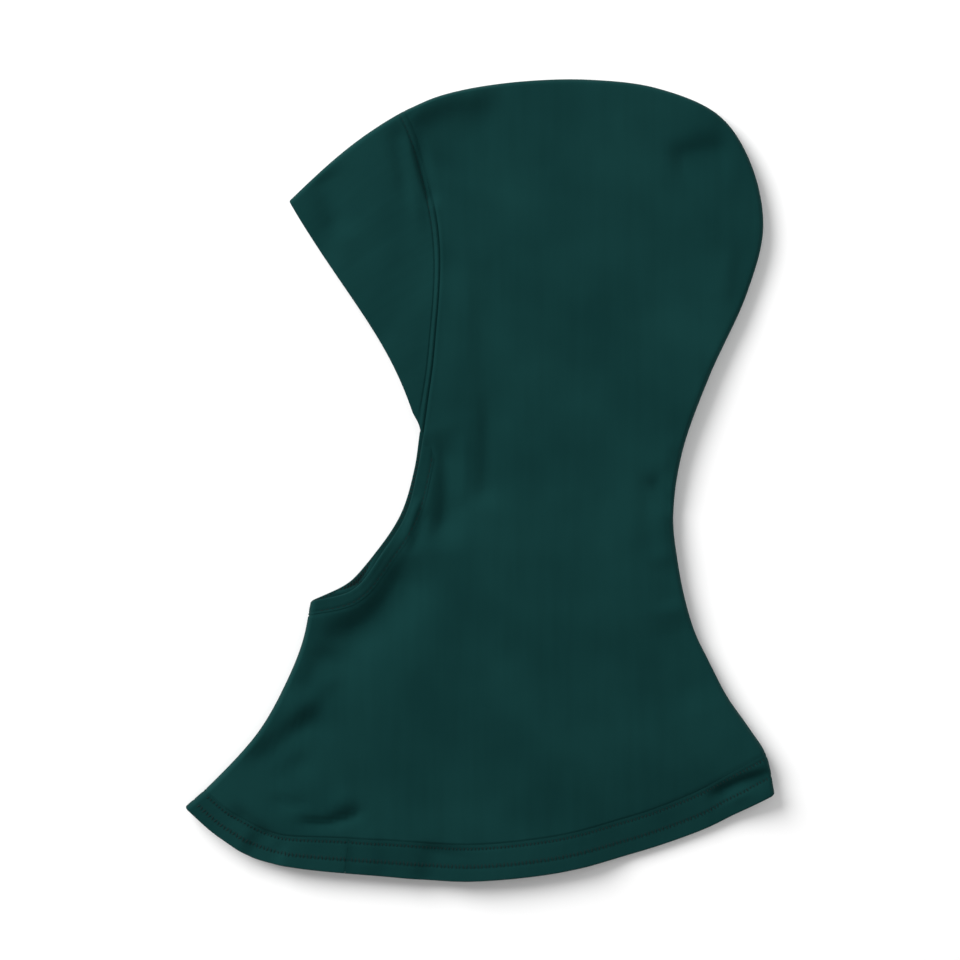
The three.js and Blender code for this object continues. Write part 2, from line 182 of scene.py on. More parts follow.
# %% Sections and bow of the hem
HEAD, NECK, HEM = head_depth, neck_width, hem_span
sections = [
    (HEAD, -0.227, 0.961, -0.212, 0.964),
    (HEAD, -0.194, 0.932, -0.133, 0.978),
    (HEAD, -0.164, 0.892, -0.029, 0.989),
    (HEAD, -0.14, 0.851, 0.128, 0.998),
    (HEAD, -0.125, 0.814, 0.332, 1.0),
    (HEAD, -0.119, 0.776, 0.536, 0.989),
    (HEAD, -0.122, 0.734, 0.719, 0.955),
    (HEAD, -0.131, 0.689, 0.812, 0.897),
    (HEAD, -0.141, 0.643, 0.851, 0.817),
    (HEAD, -0.156, 0.599, 0.804, 0.736),
    (HEAD, -0.169, 0.56, 0.687, 0.628),
    (NECK, -0.231, 0.512, 0.746, 0.534),
    (NECK, -0.275, 0.457, 0.714, 0.456),
    (NECK, -0.362, 0.41, 0.73, 0.4),
    (NECK, -0.467, 0.365, 0.757, 0.353),
    (HEM, -0.286, 0.35, 0.363, 0.312),
    (HEM, -0.3, 0.3, 0.389, 0.272),
    (HEM, -0.327, 0.25, 0.418, 0.231),
    (HEM, -0.374, 0.188, 0.454, 0.193),
    (HEM, -0.451, 0.125, 0.484, 0.158),
    (HEM, -0.498, 0.094, 0.498, 0.11),
]
cheek_row = 10
chin_row = 15
hem_row = len(sections) - 1
far_shares = [0.45, 0.4, 0.54, 0.6, 1, 0]
hem_bow = [
    (0.0, 0.0),
    (0.06, 0.39),
    (0.13, 0.69),
    (0.2, 0.8),
    (0.33, 0.91),
    (0.47, 1.0),
    (0.6, 0.95),
    (0.74, 0.75),
    (0.87, 0.46),
    (0.94, 0.22),
    (1.0, 0.0),
]
print("sections:", len(sections), "rows from the crown to the hem")

# %% [markdown]
# ## Curves and small sums
#
# A smooth curve through the ends of the sections gives the front edge and the back edge. The curve is the
# centripetal kind, which neither loops nor overshoots where the points stand close together. All sums
# work on whole arrays of points at once, because a sheet has tens of thousands of them.

# %% Curve through points
def smooth_curve(points):
    """A function from shares 0..1 to places on a smooth curve through the points."""
    points = np.asarray(points, float)
    chain = np.vstack([2 * points[0] - points[1], points, 2 * points[-1] - points[-2]])
    spans = len(points) - 1

    def place(share):
        run = np.clip(np.asarray(share, float), 0, 1) * spans
        index = np.minimum(run.astype(int), spans - 1)
        weight = (run - index)[..., None]
        a, b, c, d = (chain[index + step] for step in range(4))
        gaps = [np.sqrt(np.linalg.norm(q - p, axis=-1, keepdims=True)) for p, q in ((a, b), (b, c), (c, d))]
        start = ((b - a) / gaps[0] - (c - a) / (gaps[0] + gaps[1]) + (c - b) / gaps[1]) * gaps[1]
        stop = ((c - b) / gaps[1] - (d - b) / (gaps[1] + gaps[2]) + (d - c) / gaps[2]) * gaps[1]
        square = -3 * b + 3 * c - 2 * start - stop
        cube = 2 * b - 2 * c + start + stop
        return b + start * weight + square * weight**2 + cube * weight**3

    return place


def tangent(curve, share):
    """The unit direction of a curve at the shares."""
    share = np.asarray(share, float)
    step = curve(np.clip(share + 0.0001, 0, 1)) - curve(np.clip(share - 0.0001, 0, 1))
    return step / np.linalg.norm(step, axis=-1, keepdims=True)


def unit(vector):
    return vector / np.maximum(np.linalg.norm(vector, axis=-1, keepdims=True), 1e-12)


def turn_left(vector):
    return np.stack([-vector[..., 1], vector[..., 0]], axis=-1)


def smoothstep(value, start, stop):
    share = np.clip((value - start) / (stop - start), 0, 1)
    return share * share * (3 - 2 * share)


def lerp(start, stop, share):
    return start + (stop - start) * share


print("turned left, (1, 0) is", turn_left(np.array([1.0, 0.0])))

# %% Edges of the cap
def section_ends(side_share, up_share):
    return [(row[side_share] * row[0], (row[up_share] - 0.5) * cap_height) for row in sections]


face_edge = smooth_curve(section_ends(1, 2)[: chin_row + 1])
throat_edge = smooth_curve(section_ends(1, 2)[chin_row:])
back_edge = smooth_curve(section_ends(3, 4))
bow_line = smooth_curve(hem_bow)(np.linspace(0, 1, 2001))


def front_at(row):
    on_face = face_edge(np.minimum(row, chin_row) / chin_row)
    on_throat = throat_edge((np.maximum(row, chin_row) - chin_row) / (hem_row - chin_row))
    return np.where((row <= chin_row)[..., None], on_face, on_throat)


def plan_at(across, row):
    """Where the cloth lies, seen from above: across runs from the front edge (0) to the back edge (1)."""
    across, row = np.broadcast_arrays(np.asarray(across, float), np.asarray(row, float))
    place = lerp(front_at(row), back_edge(row / hem_row), across[..., None])
    bow = np.interp(across, bow_line[:, 0], bow_line[:, 1]) * hem_drop
    place[..., 1] -= bow * smoothstep(row, chin_row, hem_row)
    return place


print("hem corners:", np.round(plan_at([0, 1], hem_row) / mm, 1).tolist())

# %% [markdown]
# ## The bands in plan
#
# The forehead band leaves the seam and runs forward to its own curved edge. It is widest at its centre
# fold and runs out at the cheek. The binding follows the lower face edge, and on the far side it shows a
# little past the near one. The hem band follows the hem.

# %% Forehead band, binding and hem in plan
seam_top = face_edge(0.0)
band_tip = seam_top - band_depth * np.array([math.cos(band_slope), math.sin(band_slope)])


def towards_back(row):
    return turn_left(tangent(face_edge, row / chin_row))


def band_plan(along, width):
    """along runs from the centre fold (0) to the cheek (1), width from the seam (0) to the front edge (1)."""
    along, width = np.broadcast_arrays(np.asarray(along, float), np.asarray(width, float))
    along, width = along[..., None], width[..., None]
    row = along[..., 0] * cheek_row
    seam = face_edge(row / chin_row)
    cheek = face_edge(cheek_row / chin_row) - towards_back(np.float64(cheek_row)) * band_end
    hollow = band_hollow * np.sin(np.pi * along**1.7)
    edge = lerp(band_tip, cheek, along) + turn_left(unit(cheek - band_tip)) * hollow
    edge = lerp(seam, edge, 1 - band_taper * smoothstep(along, taper_start, 1))
    shown = np.clip(width, 0, 1)
    bow = band_crown * np.sin(np.pi * shown**0.85) * (1 - along) ** 3
    place = lerp(seam, edge, shown) - turn_left(unit(band_tip - seam_top)) * bow
    return place + towards_back(row) * np.maximum(-width, 0) * seam_lap


far_curve = smooth_curve([(i, share) for i, share in enumerate(far_shares)])


def binding_plan(along, inset, is_far):
    """along runs from the cheek (0) to the chin (1), inset inwards from the edge."""
    along, inset = np.broadcast_arrays(np.asarray(along, float), np.asarray(inset, float))
    row = lerp(cheek_row, chin_row, along)
    inwards = unit(lerp(towards_back(row), tangent(throat_edge, 0.0), along[..., None] ** 3))
    reach = inset - np.where(is_far, far_curve(along)[..., 1] * far_peek, 0)
    return front_at(row) + inwards * reach[..., None]


def hem_depth_at(across):
    front_depth = lerp(hem_tip_depth, hem_depth, smoothstep(across, 0, 0.25))
    return lerp(front_depth, hem_back_depth, smoothstep(across, 0.75, 1))


def row_above_hem(across, height):
    """The row whose cloth lies this far above the hem."""
    hem = plan_at(across, hem_row)
    low = np.full(across.shape, float(chin_row))
    high = np.full(across.shape, float(hem_row))
    for _ in range(24):
        middle = (low + high) / 2
        is_above = np.linalg.norm(plan_at(across, middle) - hem, axis=-1) > height
        low, high = np.where(is_above, middle, low), np.where(is_above, high, middle)
    return (low + high) / 2


print("band tip:", np.round(band_tip / mm, 1), "mm")

# %% [markdown]
# ## How the cloth lies
#
# Where the near side turns over to the far side, at the crown, the nape and the throat, the cloth rolls
# through a half circle or so, not through a sharp crease. The height of the cloth follows from the
# distance to such an edge. Away from the edges the upper side sinks a little. On top of that come the
# folds, each a soft line with a depth.

# %% Sizes of the cloth
loft = 10.2 * mm
seam_rise = 4.4 * mm
upper_roll = 2.8 * mm
under_roll = 2.8 * mm
sag = 0.8 * mm
sag_reach = 45 * mm
base_lift = 0.175 * mm
ply = 0.8 * mm
double_ply = 1.3 * mm
layer_gap = 0.3 * mm
closed_edges = [
    np.vstack([band_plan(0, 1 - np.linspace(0, 1, 41)), back_edge(np.linspace(0, 1, 361))]),
    throat_edge(np.linspace(1, 0, 91)),
]
bound_edge = binding_plan(np.linspace(0, 1, 91), 0, False)
seam_line = face_edge(np.linspace(0, cheek_row / chin_row, 121))
print("turned edges:", [len(edge) for edge in closed_edges], "points")

# %% Distance to an edge
def nearest_on(line, points, chunk=3000):
    """Distance, nearest place, the line's direction there and how far along it is, for each point."""
    start, step = line[:-1], np.diff(line, axis=0)
    length = (step**2).sum(axis=1)
    count = len(points)
    found = [np.empty(count), np.empty((count, 2)), np.empty((count, 2)), np.empty(count)]
    for first in range(0, len(points), chunk):
        part = points[first : first + chunk]
        offset = part[:, None] - start
        share = np.clip((offset * step).sum(axis=2) / length, 0, 1)
        place = start + share[..., None] * step
        distance = np.linalg.norm(part[:, None] - place, axis=2)
        best = distance.argmin(axis=1)
        every = np.arange(len(part))
        run = (best + share[every, best]) / len(step)
        for whole, piece in zip(found, (distance[every, best], place[every, best], step[best], run)):
            whole[first : first + chunk] = piece
    return found


print("tip to the seam:", round(nearest_on(seam_line, band_tip[None])[0][0] / mm, 1), "mm")

# %% [markdown]
# ## Folds
#
# Each fold is a soft line through a few places, in millimetres from the middle of the cap, with a half
# width and a depth. Valleys are negative. Tension in the seams draws some of them: the pocket beside the
# chin, the drag lines down the throat and the nape, and the dents in the crown. The skirt and the hem
# have small creases.

# %% Folds
folds = [
    ("ridge from the crown seam", 2.0, 1.1, [(-39, 182), (-36, 166), (-32, 139), (-28, 119)]),
    ("dip before the ridge", 3.2, -2.2, [(-42, 179), (-39, 161), (-34, 134)]),
    ("pocket at the seam", 1.9, -3.4, [(-33, 174), (-30, 162), (-28, 153), (-25, 143), (-23, 134)]),
    ("band front dip", 5.0, -2.8, [(-81, 156), (-75, 140), (-68, 118)]),
    ("crown front rise", 7.5, 5.0, [(-40, 170), (-31, 184), (-16, 191), (-3, 193), (13, 196)]),
    ("crown front dent", 12.0, -1.6, [(12, 178), (-2, 171), (-13, 160), (-20, 146)]),
    ("crown back dent", 6.0, -3.4, [(92, 160), (110, 163), (128, 165)]),
    ("crown back rise", 5.0, 0.8, [(103, 178), (120, 176)]),
    ("back lip", 4.0, 0.6, [(124, 116), (121, 102), (119, 87)]),
    ("back dip", 4.0, -0.9, [(133, 122), (130, 102), (127, 81)]),
    ("head hollow", 24.0, -1.4, [(100, 160), (96, 110), (90, 50)]),
    ("nape lip", 3.0, 0.8, [(96, 22), (91, 4)]),
    ("nape tuck", 2.0, -1.8, [(84, 3), (90, -7), (99, -16)]),
    ("nape ridge", 2.8, 1.2, [(89, -10), (91, -28), (94, -48)]),
    ("nape dip", 4.0, -1.2, [(84, 8), (84, -14), (87, -44)]),
    ("nape lower dip", 4.5, -1.2, [(89, -36), (95, -66)]),
    ("shoulder dip", 12.0, -2.0, [(92, -62), (98, -90), (108, -118)]),
    ("shoulder droop", 34.0, -5.6, [(50, -196), (100, -184), (150, -164)]),
    ("rise behind the seam", 6.0, 1.7, [(-6, 112), (-8, 75), (-8, 30)]),
    ("cheek fold", 5.0, -4.6, [(-21, 27), (-17, 12), (-16, -4), (-18, -20), (-23, -34)]),
    ("cheek rise", 3.4, 1.6, [(-10, 26), (-9, 4), (-11, -16)]),
    ("neck fold", 4.5, -2.4, [(4, 52), (4, 24), (3, 0), (1, -16)]),
    ("face edge rise", 1.6, 1.2, [(-29, -6), (-34, -20), (-38, -34)]),
    ("face edge dip", 1.6, -1.0, [(-27, -12), (-31, -26), (-35, -38)]),
    ("chin pocket", 8.0, -7.8,
        [(-34, -30), (-38, -44), (-43, -55), (-50, -65), (-59, -73), (-70, -79), (-84, -84)]),
    ("throat dip", 5.5, -2.8, [(-75, -80), (-79, -91), (-84, -100), (-91, -110)]),
    ("throat rise", 4.5, 1.8, [(-67, -91), (-78, -102), (-89, -112), (-100, -123)]),
    ("throat fold", 4.6, -3.5, [(-73, -109), (-84, -119), (-95, -127), (-107, -136), (-120, -145)]),
    ("throat low rise", 3.8, 1.1, [(-79, -123), (-90, -132), (-102, -140)]),
    ("throat low dip", 3.6, -1.7, [(-83, -135), (-95, -144), (-108, -150)]),
    ("skirt small crease", 1.6, -1.5, [(-104, -157), (-96, -160), (-83, -160)]),
    ("skirt crease", 1.5, -3.0, [(-94, -168), (-80, -170), (-68, -167.5), (-55, -161.5)]),
    ("skirt lip", 2.6, 1.4, [(-77, -163), (-68, -160), (-61, -156)]),
    ("tip crease", 2.4, -2.6, [(-125, -162), (-117, -168), (-108, -175), (-100, -179)]),
    ("tip fold", 5.0, -2.6, [(-118, -178), (-96, -187)]),
    ("hem wave", 6.0, -2.6, [(-22, -178), (-27, -204)]),
    ("rise beside the join", 3.0, 0.9, [(-53, -170), (-54, -198)]),
    ("hem back crease", 2.6, -3.5, [(112, -159), (130, -150), (148, -144.5)]),
    ("hem back rise", 3.4, 1.3, [(122, -160), (136, -153)]),
]
print("folds:", len(folds))

# %% Height of the folds
lee_way = np.array([math.cos(math.radians(-45)), math.sin(math.radians(-45))])
lee_width = 2.2
fold_run_out = 0.28
flat_beside_binding = 3 * mm
drift_seed = 5
drift_waves = 14
drift_steepness = 0.0011


def fold_height(points):
    """The height that all folds add. Valleys are wider on their lee side, ridges on the other side."""
    height = np.zeros(len(points))
    for _, half_width, depth, path in folds:
        line = smooth_curve(np.array(path) * mm)(np.linspace(0, 1, 8 * len(path)))
        reach = 3 * half_width * lee_width * mm
        near = ((points > line.min(axis=0) - reach) & (points < line.max(axis=0) + reach)).all(axis=1)
        if near.any():
            distance, place, _, run = nearest_on(line, points[near])
            ends = smoothstep(run, 0, fold_run_out) * (1 - smoothstep(run, 1 - fold_run_out, 1))
            lee = 0.5 + 0.5 * unit(points[near] - place) @ lee_way
            wide_side = lee if depth < 0 else 1 - lee
            width = half_width * mm * lerp(1, lee_width, wide_side)
            height[near] += depth * mm * np.exp(-((distance / width) ** 2)) * ends
    return height * smoothstep(nearest_on(bound_edge, points)[0], 0, flat_beside_binding)


def drift_height(points):
    """The slight unevenness of cloth that was laid out by hand."""
    draw = np.random.default_rng(drift_seed)
    height = np.zeros(len(points))
    for _ in range(drift_waves):
        length = draw.uniform(26, 95) * mm
        turn = draw.uniform(0, np.pi)
        phase = draw.uniform(0, 2 * np.pi)
        run = points @ np.array([math.cos(turn), math.sin(turn)])
        height += drift_steepness * length * np.sin(2 * np.pi * run / length + phase)
    return height


print("unevenness at the middle:", round(float(drift_height(np.zeros((1, 2)))[0]) / mm, 2), "mm")

# %% [markdown]
# ## The surface
#
# For any place in the plan, on the upper or the under side, this gives the outer face of the cloth and
# the direction in which that face looks. Every piece is laid on this one surface, or a little below it
# where it is tucked under a neighbour, so that neighbours meet with no step.

# %% Outer face of the cap
edge_width = 0.8 * mm
outline = np.vstack([back_edge(np.linspace(0, 1, 2001)), plan_at(np.linspace(0, 1, 2001), hem_row)])
middle_of_plan = (outline.min(axis=0) + outline.max(axis=0)) / 2


def surface_at(points, side, on_edge, relief=None):
    """Places and directions of the outer face. side is +1 above and -1 below."""
    shape = points.shape[:-1]
    flat = points.reshape(-1, 2)
    side = np.broadcast_to(side, shape).ravel().astype(float)
    on_edge = np.broadcast_to(on_edge, shape).ravel()
    first, second = (nearest_on(edge, flat) for edge in closed_edges)
    is_first = first[0] < second[0]
    distance = np.where(is_first, first[0], second[0])
    place = np.where(is_first[:, None], first[1], second[1])
    step = np.where(is_first[:, None], first[2], second[2])
    is_beyond = (((place - flat) * turn_left(step)).sum(axis=1) < 0) & (distance < edge_width)
    on_edge = on_edge | is_beyond
    roll = np.where(side > 0, upper_roll, under_roll)
    rise = np.where(side > 0, loft - seam_rise, seam_rise)
    inside = np.where(on_edge, 0, np.minimum(distance, roll))
    angle = np.arccos(1 - inside / roll)
    outwards = unit(np.where(on_edge[:, None], turn_left(step), place - flat))
    normal = np.column_stack([outwards * (rise * np.cos(angle))[:, None], side * roll * np.sin(angle)])
    lift = seam_rise + side * rise * np.sin(angle) + base_lift
    above = side > 0
    lift -= np.where(above, sag * smoothstep(distance, upper_roll, upper_roll + sag_reach), 0)
    near_edge = np.sin(angle) ** 2
    lift += np.where(above, fold_height(flat) + drift_height(flat), 0) * near_edge
    if relief is not None:
        lift += relief.ravel() * np.sqrt(near_edge)
    seat = np.column_stack([flat - middle_of_plan, lift])
    return seat.reshape(*shape, 3), unit(normal).reshape(*shape, 3)


print("middle of the plan:", np.round(middle_of_plan / mm, 3), "mm")

# %% [markdown]
# ## From points to a sheet
#
# A sheet starts as a grid of faces, because cloth is woven or knitted as one. The grid's points are moved
# to their places, its faces get UV values in metres as the cloth lay before it was sewn, and a Solidify
# modifier gives it its wall. The knit follows those UV values, so it bends over the rolled edges as real
# cloth does.

# %% Helpers for sheets
def bare_grid(name, places):
    """A grid of faces whose points lie at an array of places, rows by columns."""
    rows, columns = places.shape[:2]
    bpy.ops.object.select_all(action="DESELECT")
    bpy.ops.mesh.primitive_grid_add(x_subdivisions=columns - 1, y_subdivisions=rows - 1, size=2)
    piece = bpy.context.object
    piece.name = name
    piece.data.name = name
    if len(piece.data.vertices) != rows * columns:
        raise ValueError(f"{name}: the grid has {len(piece.data.vertices)} points")
    piece.data.vertices.foreach_set("co", places.reshape(-1).astype(np.float32))
    return piece


def write_uv(piece, flat):
    """Puts the flat cut's places, in metres, into the piece's UV map."""
    data = piece.data
    corners = np.empty(len(data.loops), np.int32)
    data.loops.foreach_get("vertex_index", corners)
    data.uv_layers.active.uv.foreach_set("vector", flat.reshape(-1, 2)[corners].ravel().astype(np.float32))


def faces_outwards(piece, normals):
    """Turns the faces over where the grid's own order makes them look inwards."""
    data = piece.data
    data.update()
    middle = data.polygons[len(data.polygons) // 2]
    wanted = normals.reshape(-1, 3)[middle.vertices[0]]
    if middle.normal.dot(wanted.tolist()) < 0:
        data.flip_normals()


def apply_all(piece):
    """Applies every modifier in order."""
    bpy.ops.object.select_all(action="DESELECT")
    piece.select_set(True)
    bpy.context.view_layer.objects.active = piece
    for modifier in [modifier.name for modifier in piece.modifiers]:
        bpy.ops.object.modifier_apply(modifier=modifier)


def flat_cut(places, plan):
    """Where each point lay in the flat cloth: every row is rolled out along its own line."""
    along = np.linalg.norm(np.diff(places, axis=1), axis=2)
    direction = unit(np.diff(plan, axis=1))
    steps = along[..., None] * direction
    run = np.concatenate([np.zeros((len(plan), 1, 2)), np.cumsum(steps, axis=1)], axis=1)
    middle = plan.shape[1] // 2
    return run - run[:, middle : middle + 1] + plan[:, middle : middle + 1]


def cut_area(flat):
    """Area of a flat cut, from its grid of places."""
    a, b, c, d = flat[:-1, :-1], flat[1:, :-1], flat[1:, 1:], flat[:-1, 1:]
    p, q = c - a, d - b
    return float(np.abs(p[..., 0] * q[..., 1] - p[..., 1] * q[..., 0]).sum() / 2)


print("sheet helpers ready")

# %% [markdown]
# ## Rows and stops
#
# The grid's lines stand close together where the cloth turns over and beside the seams, and wide apart on
# the level parts. Near an edge they take equal turns of the roll.

# %% Rows and stops
def stops_across(row, side, between, cuts):
    """Shares across each row: equal turns in the roll at both ends, and even steps between them."""
    length = np.linalg.norm(plan_at(0, row) - plan_at(1, row), axis=-1)
    roll = np.minimum(upper_roll if side > 0 else under_roll, 0.4 * length) / length
    start = roll[:, None] * (1 - np.cos(np.linspace(0, np.pi / 2, cuts + 1)))
    inner = np.linspace(0, 1, between + 1)[1:-1]
    middle = lerp(roll[:, None], 1 - roll[:, None], inner)
    return np.hstack([start, middle, 1 - start[:, ::-1]])


def join_runs(*runs):
    """One list of rows from (start, stop, step) runs."""
    parts = [[runs[0][0]]]
    for start, stop, step in runs:
        parts.append(np.linspace(start, stop, max(1, round((stop - start) / step)) + 1)[1:])
    return np.concatenate(parts)


body_rows = join_runs(
    (0, 0.3, 0.02),
    (0.3, 1, 0.04),
    (1, 14.2, 0.09),
    (14.2, 14.7, 0.05),
    (14.7, 15.2, 0.02),
    (15.2, 15.6, 0.04),
    (15.6, 18, 0.08),
)
low_shares = join_runs((0, 0.78, 0.06), (0.78, 1, 0.008))[1:]
print("rows:", len(body_rows) + len(low_shares))

# %% [markdown]
# ## The two side pieces
#
# Each side is one piece of cloth from the crown to the hem. It is sewn to the forehead band along a
# curved seam, where its edge is turned in and rounds down. Beyond the seam the band rises in a narrow
# welt and dips again at the line of stitches. At the binding and the hem a side passes below the next
# piece.

# %% Side pieces
bind_thin = 0.3 * mm
cheek_fade = 0.15
full_tuck = double_ply + layer_gap
tuck_run = 1.2 * mm
turned_in = 1.5 * mm
lip_drop = 0.3 * mm
seam_swell = 0.2 * mm
welt_height = 0.45 * mm
furrow = 0.4 * mm
furrow_place = 3.2 * mm
seam_tuck = 0.15 * mm


def bulge(distance, place, width):
    """A soft bump of height 1 round a place."""
    return np.exp(-(((distance - place) / width) ** 2))


def tuck_under(beyond):
    """How deep a side lies below a band: shallow at the band's edge, and fully under it further in."""
    shallow = (bind_thin + 0.1 * mm) * (1 - smoothstep(beyond, 0, tuck_run))
    deep = (full_tuck - bind_thin) * (1 - smoothstep(beyond, -3 * mm, -0.3 * mm))
    return shallow + deep


def seam_pull(row):
    """How hard the seam is drawn in: hardly at the crown, fully from a third of the way down."""
    return 0.2 + 0.8 * smoothstep(row, 2.6, 4.2)


def seam_relief(distance, row):
    """Height of the side's turned edge beside the forehead seam."""
    lip = -lip_drop * bulge(distance, 0, 0.5 * mm)
    return (lip + seam_swell * bulge(distance, 1.4 * mm, 1.0 * mm)) * seam_pull(row)


def welt_relief(distance):
    """Height of the forehead band beside the same seam: a welt, and the furrow of the stitches beyond it."""
    stitched = furrow * bulge(distance, furrow_place, 0.6 * mm)
    return welt_height * bulge(distance, 1.5 * mm, 0.75 * mm) - stitched


def side_sheet(name, side, between, cuts):
    """One side piece, from the forehead seam and the face edge to the back, and from the crown to the hem."""
    is_far = side < 0
    rows = np.repeat(body_rows[:, None], between + 2 * cuts + 1, axis=1)
    across = stops_across(body_rows, side, between, cuts)
    last = body_rows[-1]
    middle_end = row_above_hem(np.array([0.5]), hem_depth - seam_lap)[0]
    low_across = stops_across(lerp(last, middle_end, low_shares), side, between, cuts)
    low_end = row_above_hem(low_across, hem_depth_at(low_across) - seam_lap)
    across = np.vstack([across, low_across])
    rows = np.vstack([rows, lerp(last, low_end, low_shares[:, None])])
    along = np.clip((rows - cheek_row) / (chin_row - cheek_row), 0, 1)
    inset = turned_in * smoothstep(along, 0, 0.1) * (1 - smoothstep(rows, chin_row, chin_row + 0.5))
    shift = binding_plan(along, inset, is_far) - front_at(lerp(cheek_row, chin_row, along))
    shift *= smoothstep(rows, cheek_row - 0.4, cheek_row)[..., None]
    plan = plan_at(across, rows) + shift * ((1 - across) ** 3)[..., None]
    flat = plan.reshape(-1, 2)
    above_hem = row_above_hem(across, hem_depth_at(across))
    beyond = np.linalg.norm(plan_at(across, rows) - plan_at(across, above_hem), axis=-1)
    beyond = np.where(rows > above_hem, -beyond, beyond)
    peek = np.where(is_far & (rows > cheek_row), far_curve(along)[..., 1] * far_peek * (1 - across) ** 3, 0)
    bound = nearest_on(bound_edge, flat)[0].reshape(rows.shape) - binding_width + peek
    below_binding = tuck_under(bound) * smoothstep(along, 0, cheek_fade)
    depth = np.maximum(tuck_under(beyond), below_binding)
    from_seam = nearest_on(seam_line, flat)[0].reshape(rows.shape)
    relief = seam_relief(from_seam, rows) * (rows <= chin_row)
    relief *= 1 - smoothstep(rows, cheek_row - 0.3, cheek_row + 0.6)
    on_edge = (across >= 1) | ((across <= 0) & (rows >= chin_row)) | (rows <= 0)
    seat, normal = surface_at(plan, side, on_edge, relief * side)
    places = seat - normal * depth[..., None]
    places[..., 2] += side * layer_gap / 2
    cut = flat_cut(places, plan)
    piece = bare_grid(name, places)
    write_uv(piece, cut)
    faces_outwards(piece, normal)
    wall = piece.modifiers.new("wall", "SOLIDIFY")
    wall.thickness = ply
    wall.offset = -1
    apply_all(piece)
    bpy.ops.object.shade_smooth()
    size = np.ptp(cut.reshape(-1, 2), axis=0)
    print(name, len(piece.data.polygons), "faces, cut", np.round(size / mm, 1), "mm")
    return piece, size.tolist(), cut_area(cut)


near_side, near_cut, near_area = side_sheet("near_side", 1, 84, 14)
far_side, far_cut, far_area = side_sheet("far_side", -1, 60, 10)

# %% [markdown]
# ## Bands as flattened tubes
#
# The forehead band, the binding and the hem band are doubled cloth with one folded edge. Their cross
# section is a flat loop: the outer face, a small half circle round the fold, the inner face and a thin
# sewn edge. A grid of stations along the band by points round the loop is closed into a tube by merging
# its first and last lines.

# %% Cross section of a doubled band
def even_insets(widths, count, marks=()):
    """Insets from the folded edge to the sewn edge, close together round each mark (a share of the width)."""
    beside = np.array([-0.05, -0.025, 0, 0.025, 0.05])
    share = np.unique(np.concatenate([np.linspace(0, 1, count)] + [mark + beside for mark in marks]))
    half = double_ply / 2
    return half + (widths[:, None] - half) * share[share <= 1]


def loop_points(widths, insets, thin_run):
    """Inset and depth below the outer face for each point of the loop: outer face, fold, inner face."""
    half = double_ply / 2
    turn = np.linspace(0, np.pi, 7)[1:-1]
    wall = lerp(double_ply, bind_thin, 1 - smoothstep(widths[:, None] - insets, 0, thin_run))
    round_inset = np.broadcast_to(half * (1 - np.sin(turn)), (len(widths), len(turn)))
    round_depth = np.broadcast_to(half * (1 - np.cos(turn)), (len(widths), len(turn)))
    inset = np.hstack([insets[:, ::-1], round_inset, insets])
    depth = np.hstack([np.zeros_like(insets), round_depth, wall])
    return inset, depth


row_pull = 0.2 * mm


def stitch_channel(distance):
    """How deep a row of stitches pulls the cloth in, beside the row."""
    return row_pull * bulge(distance, 0, 0.7 * mm)


print("doubled cloth:", round(double_ply / mm, 2), "mm")

# %% Helpers for bands
def mirrored(stations):
    """Stations of the near wing, backwards, then of the far wing, with the side of each."""
    along = np.concatenate([stations[::-1], stations[1:]])
    side = np.concatenate([np.ones(len(stations)), -np.ones(len(stations) - 1)])
    return along, side


def ring_cut(places):
    """Flat places on a band: along it, and round its loop."""
    along = np.linalg.norm(np.diff(places, axis=0), axis=2)
    middle = places.shape[1] // 4
    run = np.concatenate([[0], np.cumsum(along[:, middle])])
    round_loop = np.linalg.norm(np.diff(places, axis=1), axis=2)
    reach = np.concatenate([np.zeros((len(places), 1)), np.cumsum(round_loop, axis=1)], axis=1)
    return np.stack([np.broadcast_to(run[:, None], reach.shape), reach], axis=-1)


def band_tube(name, places, normals):
    """A closed tube from stations by loop points."""
    cut = ring_cut(places)
    closed = np.concatenate([places, places[:, :1]], axis=1)
    piece = bare_grid(name, closed)
    last = cut[:, -1:].copy()
    last[:, 0, 1] += np.linalg.norm(places[:, -1] - places[:, 0], axis=1)
    write_uv(piece, np.concatenate([cut, last], axis=1))
    faces_outwards(piece, np.concatenate([normals, normals[:, :1]], axis=1))
    bpy.ops.object.mode_set(mode="EDIT")
    bpy.ops.mesh.select_all(action="SELECT")
    bpy.ops.mesh.remove_doubles(threshold=0.002 * mm)
    bpy.ops.mesh.select_all(action="DESELECT")
    bpy.ops.mesh.select_mode(type="EDGE")
    bpy.ops.mesh.select_non_manifold()
    bpy.ops.mesh.edge_face_add()
    bpy.ops.mesh.select_all(action="SELECT")
    bpy.ops.mesh.normals_make_consistent(inside=False)
    bpy.ops.object.mode_set(mode="OBJECT")
    bpy.ops.object.shade_smooth_by_angle(angle=math.radians(50))
    half = cut[:, : places.shape[1] // 2]
    size = np.ptp(cut.reshape(-1, 2), axis=0)
    print(name, len(piece.data.polygons), "faces, length and round the loop", np.round(size / mm, 1), "mm")
    return piece, [float(size[1]) / 2, float(size[0])], cut_area(half)


print("band helpers ready")

# %% [markdown]
# ## The forehead band
#
# This crescent is cut double, folded along its front edge, and sewn to both sides. Its centre fold lies
# at the front of the laid cap, so one wing is above and the other below. Its sewn edge lies under the
# side piece's turned edge, and it comes up to the level of the side within a few millimetres.

# %% Forehead band
fold_turns = 1 - np.cos(np.linspace(0, np.pi / 2, 13))


def turned_stations(turn, count):
    """Stations from 0 to 1, close together in the turn at the start."""
    return np.concatenate([turn * fold_turns, np.linspace(turn, 1, count)[1:]])


